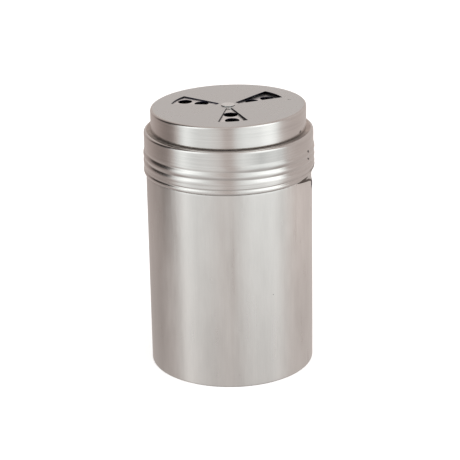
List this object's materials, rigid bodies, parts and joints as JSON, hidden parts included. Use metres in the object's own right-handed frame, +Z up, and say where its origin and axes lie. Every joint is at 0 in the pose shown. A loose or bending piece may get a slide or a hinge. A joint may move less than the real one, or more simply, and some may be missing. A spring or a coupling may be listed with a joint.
{
  "type": "spice shaker",
  "caption": "Round steel spice tin with a screw lid and a turning dial cap whose wedge windows open, throttle or close the pour holes.",
  "frame": {"origin": "centre of the base, on the plane the tin stands on", "axes": "+Z up along the can's axis, -Y the front, +X to the right as seen from the front"},
  "size_m": [0.0648, 0.0648, 0.1027],
  "materials": {
    "can_steel": "satin, fine vertical lines",
    "neck_steel": "plain rolled",
    "lid_steel": "brushed round the axis",
    "cap_steel": "brushed round the axis, satin top",
    "rivet_steel": "smooth",
    "spring_steel": "plain"
  },
  "bodies": {
    "can": {"body_can": "can_steel", "neck_ring": "neck_steel"},
    "rivet_stack": {"centre_rivet": "rivet_steel", "spring_washer": "spring_steel", "clench_washer": "spring_steel"},
    "lid": {"screw_lid": "lid_steel"},
    "cap": {"dial_cap": "cap_steel"}
  },
  "joints": [
    {"name": "lid_lift", "type": "slide", "parent": "can", "child": "rivet_stack", "axis": [0, 0, 1], "range_m": [0, 0.0171]},
    {"name": "lid_turn", "type": "hinge", "parent": "rivet_stack", "child": "lid", "pos_m": [0, 0, 0.0855], "axis": [0, 0, 1], "range_deg": [-2160, 0]},
    {"name": "dial_turn", "type": "hinge", "parent": "lid", "child": "cap", "pos_m": [0, 0, 0.1018], "axis": [0, 0, 1], "continuous": true}
  ],
  "couplings": [
    {"joint": "lid_lift", "follows": "lid_turn", "m_per_rad": -0.00045359}
  ]
}
